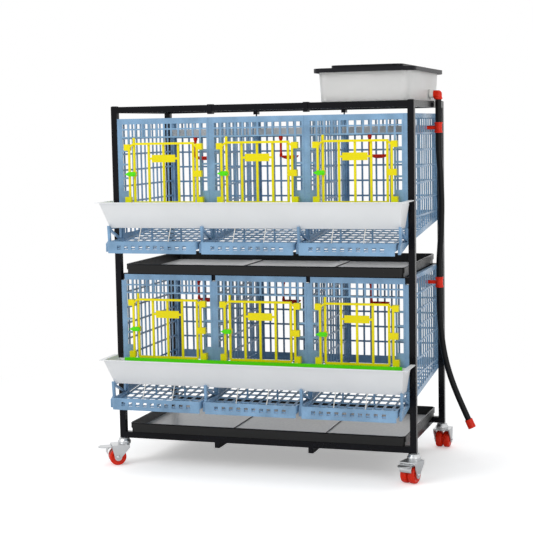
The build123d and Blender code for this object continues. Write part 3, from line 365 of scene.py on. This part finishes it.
class CAGERACK_OT_studio(bpy.types.Operator):
    """Sets the pale floor, the soft lights, the white backdrop and the photograph's camera"""

    bl_idname = "cagerack.studio"
    bl_label = "Studio"

    def execute(self, context):
        settings = context.scene.cage_rack
        self.floor(context, settings.glow)
        self.backdrop(context, settings.backdrop)
        for name, place, power, width in (
            ("key", (-2.2, -3.2, 3.4), settings.key, 2.2),
            ("fill", (3.4, -3.0, 1.8), settings.key * 0.35, 2.0),
            ("top", (0.0, 0.4, 4.2), settings.key * 0.7, 3.0),
        ):
            lamp = bpy.data.lights.new(name, "AREA")
            lamp.energy = power
            lamp.size = width
            light = bpy.data.objects.new(name, lamp)
            light.location = place
            aim = Vector((CX, CY, 0.6)) - Vector(place)
            light.rotation_euler = aim.to_track_quat("-Z", "Y").to_euler()
            context.scene.collection.objects.link(light)
        self.camera(context)
        context.scene.view_settings.view_transform = "Standard"
        return {"FINISHED"}

    def floor(self, context, glow):
        """A flat square just under the wheels, painted matt white."""
        size = 30.0
        below = 0.0004
        corners = [(-size, -size, -below), (size, -size, -below), (size, size, -below),
                   (-size, size, -below)]
        mesh = bpy.data.meshes.new("floor")
        mesh.from_pydata(corners, [], [[0, 1, 2, 3]])
        paint = bpy.data.materials.new("floor_paint")
        paint.use_nodes = True
        self.pale(paint.node_tree, glow)
        mesh.materials.append(paint)
        floor = bpy.data.objects.new("floor", mesh)
        context.scene.collection.objects.link(floor)

    def backdrop(self, context, strength):
        """A white world: full strength where it is seen, directly, in gloss or through the tank."""
        world = bpy.data.worlds.new("studio")
        context.scene.world = world
        world.use_nodes = True
        tree = world.node_tree
        sky = tree.nodes["Background"]
        sky.inputs["Color"].default_value = (1, 1, 1, 1)
        path = tree.nodes.new("ShaderNodeLightPath")
        seen = path.outputs["Is Camera Ray"]
        for ray in ("Is Glossy Ray", "Is Transmission Ray"):
            either = tree.nodes.new("ShaderNodeMath")
            either.operation = "MAXIMUM"
            tree.links.new(seen, either.inputs[0])
            tree.links.new(path.outputs[ray], either.inputs[1])
            seen = either.outputs[0]
        tree.links.new(ranged(tree, seen, strength, 1.0), sky.inputs["Strength"])

    def camera(self, context):
        """The photograph's camera: yaw about +Z, pitch down, then roll about the line of sight."""
        yaw, pitch, roll = (math.radians(v) for v in CAMERA_TURN)
        ahead = Vector((-math.sin(yaw), math.cos(yaw), 0))
        right = Vector((math.cos(yaw), math.sin(yaw), 0))
        up = Vector(UP) * math.cos(pitch) + ahead * math.sin(pitch)
        look = ahead * math.cos(pitch) - Vector(UP) * math.sin(pitch)
        side = right * math.cos(roll) + up * math.sin(roll)
        crown = up * math.cos(roll) - right * math.sin(roll)
        data = bpy.data.cameras.new("camera")
        data.lens = CAMERA_LENS
        data.sensor_width = 36.0
        data.clip_end = 100.0
        camera = bpy.data.objects.new("camera", data)
        x, y, z = CAMERA_PLACE
        camera.matrix_world = (Matrix.Translation((CX + x, CY + y, z))
                               @ Matrix((side, crown, -look)).transposed().to_4x4())
        context.scene.collection.objects.link(camera)
        context.scene.camera = camera

    def pale(self, tree, glow):
        """Matt white that glows a little where the camera sees it, and fully two metres away."""
        tree.nodes.clear()
        matt = tree.nodes.new("ShaderNodeBsdfDiffuse")
        matt.inputs["Color"].default_value = (0.93, 0.93, 0.93, 1)
        shine = tree.nodes.new("ShaderNodeEmission")
        path = tree.nodes.new("ShaderNodeLightPath")
        tree.links.new(ranged(tree, path.outputs["Is Camera Ray"], 0.0, glow),
                       shine.inputs["Strength"])
        near = tree.nodes.new("ShaderNodeAddShader")
        tree.links.new(matt.outputs[0], near.inputs[0])
        tree.links.new(shine.outputs[0], near.inputs[1])
        coords = tree.nodes.new("ShaderNodeTexCoord")
        reach = tree.nodes.new("ShaderNodeVectorMath")
        reach.operation = "LENGTH"
        tree.links.new(coords.outputs["Object"], reach.inputs[0])
        fade = tree.nodes.new("ShaderNodeMapRange")
        fade.interpolation_type = "SMOOTHSTEP"
        fade.inputs["From Min"].default_value = 0.8
        fade.inputs["From Max"].default_value = 2.0
        tree.links.new(reach.outputs["Value"], fade.inputs["Value"])
        white = tree.nodes.new("ShaderNodeEmission")
        blend = tree.nodes.new("ShaderNodeMixShader")
        tree.links.new(fade.outputs["Result"], blend.inputs["Fac"])
        tree.links.new(near.outputs[0], blend.inputs[1])
        tree.links.new(white.outputs[0], blend.inputs[2])
        out = tree.nodes.new("ShaderNodeOutputMaterial")
        tree.links.new(blend.outputs[0], out.inputs["Surface"])


class CAGERACK_OT_free_hose(bpy.types.Operator):
    """Draws the free end of the hose as one smooth curve that hangs down to its cap"""

    bl_idname = "cagerack.free_hose"
    bl_label = "Free hose"

    def execute(self, context):
        route = [
            (HOSE_X, HOSE_Y, 0.576), (HOSE_X, HOSE_Y, 0.518), (0.514, 0.086, 0.460),
            (0.519, 0.086, 0.402), (0.5285, 0.085, 0.344), (0.5435, 0.084, 0.288),
            (0.563, 0.084, 0.234), (0.585, 0.085, 0.182), (0.606, 0.085, 0.136),
        ]
        points = [Vector((CX + x, CY + y, z)) for x, y, z in route]
        curve = bpy.data.curves.new("hose_curve", "CURVE")
        curve.dimensions = "3D"
        curve.bevel_depth = HOSE_RADIUS
        curve.bevel_resolution = 5
        curve.use_fill_caps = True
        spline = curve.splines.new("NURBS")
        spline.points.add(len(points) - 1)
        for knot, point in zip(spline.points, points):
            knot.co = (*point, 1)
        spline.order_u = 3
        spline.use_endpoint_u = True
        curve.materials.append(MATERIALS["black_hose"])
        hose = bpy.data.objects.new("hose_curve", curve)
        context.scene.collection.objects.link(hose)
        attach(hose, "rack")
        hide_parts("free_hose")
        return {"FINISHED"}


class CAGERACK_OT_wheels(bpy.types.Operator):
    """Turns each twin wheel from one profile, with rounded treads and dished hubs"""

    bl_idname = "cagerack.wheels"
    bl_label = "Wheels"

    def execute(self, context):
        half = mm([(4.1, 23.6), (8.5, 23.9), (10.5, 23.2), (11.5, 21.6), (17.5, 21.2),
                   (19.0, 22.6), (21.5, 23.8), (24.5, 23.4), (26.8, 21.6), (27.8, 18.8),
                   (28.0, 13.0), (27.8, 6.6), (26.6, 3.6), (24.0, 2.2), (20.0, 2.0)])
        profile = np.concatenate([half, half[::-1] * (1, -1)])
        for name in CASTERS:
            foot, ahead, across = caster(name)
            middle = foot + TRAIL * ahead + WHEEL_RADIUS * UP
            verts, faces = revolve(profile, middle, across, 64)
            wheel = surface(f"{name}_treads", verts, faces, f"{name}_wheels", "red_plastic")
            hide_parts(f"{name}_wheels")
        return {"FINISHED"}


class CAGERACK_OT_caster_details(bpy.types.Operator):
    """Adds pressed race domes above the forks and round heads on the axle bolts"""

    bl_idname = "cagerack.caster_details"
    bl_label = "Caster details"

    def execute(self, context):
        dome = mm([(6.3, 88.5), (9, 88.4), (13, 87.9), (17.6, 86), (18.2, 82), (21.3, 79.5),
                   (22, 76), (21.4, 72), (20, 70), (18, 69.4), (12, 69.4), (6.3, 69.4)])
        head = mm([(0.2, 32.6), (2.2, 32.5), (3.8, 31.6), (5.2, 30.2), (6.0, 28.7),
                   (0.2, 28.7)])
        for name in CASTERS:
            foot, ahead, across = caster(name)
            verts, faces = revolve(dome, foot, UP, 56)
            surface(f"{name}_race_dome", verts, faces, "rack", "zinc")
            middle = foot + TRAIL * ahead + WHEEL_RADIUS * UP
            verts, faces = merge([revolve(head, middle, side * across, 24) for side in (-1, 1)])
            surface(f"{name}_axle_heads", verts, faces, f"{name}_fork", "zinc")
        return {"FINISHED"}


class CAGERACK_OT_brake_shoes(bpy.types.Operator):
    """Hangs a bent shoe from each brake pedal: a flat oval carried along a curve"""

    bl_idname = "cagerack.brake_shoes"
    bl_label = "Brake shoes"

    def execute(self, context):
        rings = 24
        around = 32
        start, bend, end = mm([(43.5, 61.6), (62.5, 60.5), (59.2, 40.5)])
        half_thick = 0.0012
        half_wide = 0.0200
        # Curve with one control point: p = (1 - t)^2 start + 2 t (1 - t) bend + t^2 end
        t = np.linspace(0, 1, rings)[:, None]
        path = (1 - t) ** 2 * start + 2 * t * (1 - t) * bend + t ** 2 * end
        along = np.gradient(path, axis=0)
        along /= np.linalg.norm(along, axis=1, keepdims=True)
        normal = np.stack([-along[:, 1], along[:, 0]], 1)
        # Flat oval: cosine and sine raised to small powers, with their signs kept
        a = np.linspace(0, 2 * math.pi, around, endpoint=False)
        thick = half_thick * np.sign(np.cos(a)) * np.abs(np.cos(a)) ** 0.4
        wide = half_wide * np.sign(np.sin(a)) * np.abs(np.sin(a)) ** 0.12
        flat = path[:, None] + normal[:, None] * thick[None, :, None]
        for name in ("left_front", "right_front"):
            foot, ahead, across = caster(name)
            points = (foot + flat[..., :1] * ahead + flat[..., 1:] * UP
                      + wide[None, :, None] * across)
            surface(f"{name}_brake_shoe", points.reshape(-1, 3), capped(rings, around),
                    f"{name}_pedal", "zinc")
        return {"FINISHED"}


class CAGERACK_OT_tray_rims(bpy.types.Operator):
    """Rolls the top edge of each dropping tray: a tube round a rounded rectangle"""

    bl_idname = "cagerack.tray_rims"
    bl_label = "Tray rims"

    def execute(self, context):
        radius = context.scene.cage_rack.rim
        inset = radius * 0.8
        corner = 0.0155
        t = np.linspace(0, math.pi / 2, 9)
        for tier in TIERS:
            low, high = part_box(f"{tier}_tray")
            left, right = low.x + inset + corner, high.x - inset - corner
            front, back = low.y + inset + corner, high.y - inset - corner
            arcs = []
            for turn, (x, y) in enumerate(((right, back), (left, back), (left, front),
                                           (right, front))):
                a = t + turn * math.pi / 2
                z = np.full_like(a, high.z - radius * 0.4)
                arcs.append(np.stack([x + corner * np.cos(a), y + corner * np.sin(a), z], 1))
            verts, faces = tube(np.concatenate(arcs), radius, 12, closed=True)
            surface(f"{tier}_tray_rim", verts, faces, f"{tier}_tray", "black_frame")
        return {"FINISHED"}


class CAGERACK_OT_drinkers(bpy.types.Operator):
    """Shapes each drinker: a turned drop tube with a wide socket, and a boat-shaped drip cup"""

    bl_idname = "cagerack.drinkers"
    bl_label = "Drinkers"

    def execute(self, context):
        low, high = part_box("drinkers")
        stem = mm([(0.3, 0), (7.2, 0), (7.4, -10), (6.2, -13), (5.0, -16), (4.1, -24),
                   (3.9, -50), (4.3, -62), (5.4, -66), (5.4, -74), (0.3, -75)])
        y = CY + 0.218
        pitch = (high.x - low.x - 0.068) / 2
        parts = []
        for top in TIERS.values():
            pipe_foot = top - 0.064
            for cell in range(3):
                x = low.x + 0.004 + cell * pitch
                parts.append(revolve(stem, (x, y, pipe_foot), UP, 24))
                parts.append(self.cup(x - 0.002, y, pipe_foot - 0.076))
        verts, faces = merge(parts)
        piece = surface("drinker_cups", verts, faces, "rack", "red_plastic")
        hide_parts("drinkers")
        return {"FINISHED"}

    def cup(self, x, y, z):
        """Boat form: each section is a U of width w(s) and depth d(s), sin(pi s) to a power."""
        sections = 28
        s = np.linspace(0.004, 0.996, sections)[:, None]
        wide = 0.012 * np.sin(np.pi * s) ** 0.35
        deep = 0.0135 * np.sin(np.pi * s) ** 0.45
        a = np.linspace(0, math.pi, 17)
        outer = np.stack([np.cos(a), -np.sin(a)], 1)
        inner = np.stack([np.cos(a[::-1]) * 0.84, -np.sin(a[::-1]) * 0.80], 1)
        loop = np.concatenate([outer, inner])
        xs = np.broadcast_to(x + 0.066 * s, (sections, len(loop)))
        ys = y + wide * loop[None, :, 0]
        zs = z + 0.0065 + deep * loop[None, :, 1]
        return np.stack([xs, ys, zs], -1).reshape(-1, 3), capped(sections, len(loop))


class CAGERACK_OT_couplings(bpy.types.Operator):
    """Adds ribbed nuts where the hose meets its tees and elbow, and a flange on the outlet"""

    bl_idname = "cagerack.couplings"
    bl_label = "Hose couplings"

    def execute(self, context):
        elbow_foot = 1.189
        heights = [elbow_foot]
        for top in TIERS.values():
            heights += [top - 0.032, top - 0.060]
        profile = mm([(10.05, -3.2), (12.4, -3.2), (13.1, -2.4), (13.1, 2.4), (12.4, 3.2),
                      (10.05, 3.2)])
        parts = []
        for height in heights:
            verts, faces = revolve(profile, (CX + HOSE_X, CY + HOSE_Y, height), UP, 96)
            # Ribs: the outer radius times 1 + 0.025 cos(24 t)
            middle = np.array([CX + HOSE_X, CY + HOSE_Y])
            arm = verts[:, :2] - middle
            turn = np.arctan2(arm[:, 1], arm[:, 0])
            reach = np.hypot(arm[:, 0], arm[:, 1])
            ripple = np.where(reach > 0.011, 1 + 0.025 * np.cos(24 * turn), 1)
            verts[:, :2] = middle + arm * ripple[:, None]
            parts.append((verts, faces))
        verts, faces = merge(parts)
        surface("coupling_nuts", verts, faces, "rack", "red_plastic")
        flange = mm([(6.1, 0), (14.2, 0), (14.6, 2), (14.2, 4), (13.2, 4.4), (13.2, 12),
                     (6.1, 12)])
        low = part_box("tank_outlet")[0]
        verts, faces = revolve(flange, (low.x + 0.0092, CY + HOSE_Y, 1.203), (1, 0, 0), 40)
        surface("outlet_flange", verts, faces, "rack", "white_boss")
        return {"FINISHED"}


class CAGERACK_OT_post_caps(bpy.types.Operator):
    """Closes the posts with domed plugs: height is the root of (1 - u^6)(1 - v^6)"""

    bl_idname = "cagerack.post_caps"
    bl_label = "Post caps"

    def execute(self, context):
        n = 15
        half = 0.0098
        u = np.linspace(-1, 1, n)
        gx, gy = np.meshgrid(u, u, indexing="ij")
        dome = 0.0022 * np.sqrt(np.clip((1 - gx ** 6) * (1 - gy ** 6), 0, 1))
        i, j = np.meshgrid(np.arange(n - 1), np.arange(n - 1), indexing="ij")
        a = (i * n + j).ravel()
        top = np.stack([a, a + n, a + n + 1, a + 1], 1)
        bottom = top[:, ::-1] + n * n
        k = np.arange(n)
        edge = np.concatenate([k * n, (n - 1) * n + k[1:], k[n - 2::-1] * n + n - 1,
                               k[n - 2:0:-1]])
        ahead = np.roll(edge, -1)
        sides = np.stack([edge, ahead, ahead + n * n, edge + n * n], 1)
        faces = np.concatenate([top, bottom, sides]).tolist()
        parts = []
        for x in (-POST_X, POST_X):
            for y in (-POST_Y, POST_Y):
                xs = CX + x + half * gx
                ys = CY + y + half * gy
                crown = np.stack([xs, ys, POST_TOP + 0.0004 + dome], -1).reshape(-1, 3)
                foot = np.stack([xs, ys, np.full_like(xs, POST_TOP - 0.0014)], -1)
                parts.append((np.concatenate([crown, foot.reshape(-1, 3)]), faces))
        verts, faces = merge(parts)
        surface("post_caps", verts, faces, "rack", "black_frame", material="black_lid")
        return {"FINISHED"}


class CAGERACK_OT_tie_rods(bpy.types.Operator):
    """Adds the thin light rods that tie each egg-tray lip up to the trough's foot"""

    bl_idname = "cagerack.tie_rods"
    bl_label = "Tie rods"

    def execute(self, context):
        s = np.linspace(0, 1, 12)[:, None]
        bow = np.array([0.0, -0.0015, 0.0]) * np.sin(np.pi * s)
        parts = []
        for top in TIERS.values():
            for cell in CELLS.values():
                for x in (CX + cell - 0.0504, CX + cell + 0.0504):
                    low = np.array([x, CY - 0.3675, top - 0.424])
                    high = np.array([x, CY - 0.3270, top - 0.3468])
                    parts.append(tube(low + (high - low) * s + bow, 0.0016, 10))
        verts, faces = merge(parts)
        surface("lip_tie_rods", verts, faces, "rack", "white_boss")
        return {"FINISHED"}


class CAGERACK_OT_latch_heads(bpy.types.Operator):
    """Puts a round pin head on each green turn-latch"""

    bl_idname = "cagerack.latch_heads"
    bl_label = "Latch heads"

    def execute(self, context):
        head = mm([(0.2, 1.4), (2.0, 1.3), (3.4, 0.8), (4.2, 0.0), (4.2, -0.4), (0.2, -0.4)])
        for tier, top in TIERS.items():
            for cell, x in CELLS.items():
                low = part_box(f"{tier}_{cell}_latch")[0]
                middle = (CX + x - 0.102, low.y, top - 0.178)
                verts, faces = revolve(head, middle, (0, -1, 0), 24)
                surface(f"{tier}_{cell}_pin_head", verts, faces, f"{tier}_{cell}_latch",
                        "green_trim")
        return {"FINISHED"}


class CAGERACK_PT_panel(bpy.types.Panel):
    """Sidebar panel with the settings and one button for each group"""

    bl_idname = "CAGERACK_PT_panel"
    bl_label = "Cage rack"
    bl_space_type = "VIEW_3D"
    bl_region_type = "UI"
    bl_category = "Cage rack"

    def draw(self, context):
        settings = context.scene.cage_rack
        for name in CageRackSettings.__annotations__:
            self.layout.prop(settings, name)
        for operator in OPERATORS:
            self.layout.operator(operator.bl_idname)


OPERATORS = (
    CAGERACK_OT_finishes,
    CAGERACK_OT_studio,
    CAGERACK_OT_free_hose,
    CAGERACK_OT_wheels,
    CAGERACK_OT_caster_details,
    CAGERACK_OT_brake_shoes,
    CAGERACK_OT_tray_rims,
    CAGERACK_OT_drinkers,
    CAGERACK_OT_couplings,
    CAGERACK_OT_post_caps,
    CAGERACK_OT_tie_rods,
    CAGERACK_OT_latch_heads,
)


def register():
    """Registers the settings, the operators and the panel."""
    for cls in (CageRackSettings, *OPERATORS, CAGERACK_PT_panel):
        bpy.utils.register_class(cls)
    bpy.types.Scene.cage_rack = bpy.props.PointerProperty(type=CageRackSettings)


def unregister():
    """Takes them away again."""
    del bpy.types.Scene.cage_rack
    for cls in reversed((CageRackSettings, *OPERATORS, CAGERACK_PT_panel)):
        bpy.utils.unregister_class(cls)


def main():
    """Runs every operator in order."""
    register()
    for operator in OPERATORS:
        getattr(bpy.ops.cagerack, operator.bl_idname.split(".")[1])()


if __name__ == "__main__":
    main()
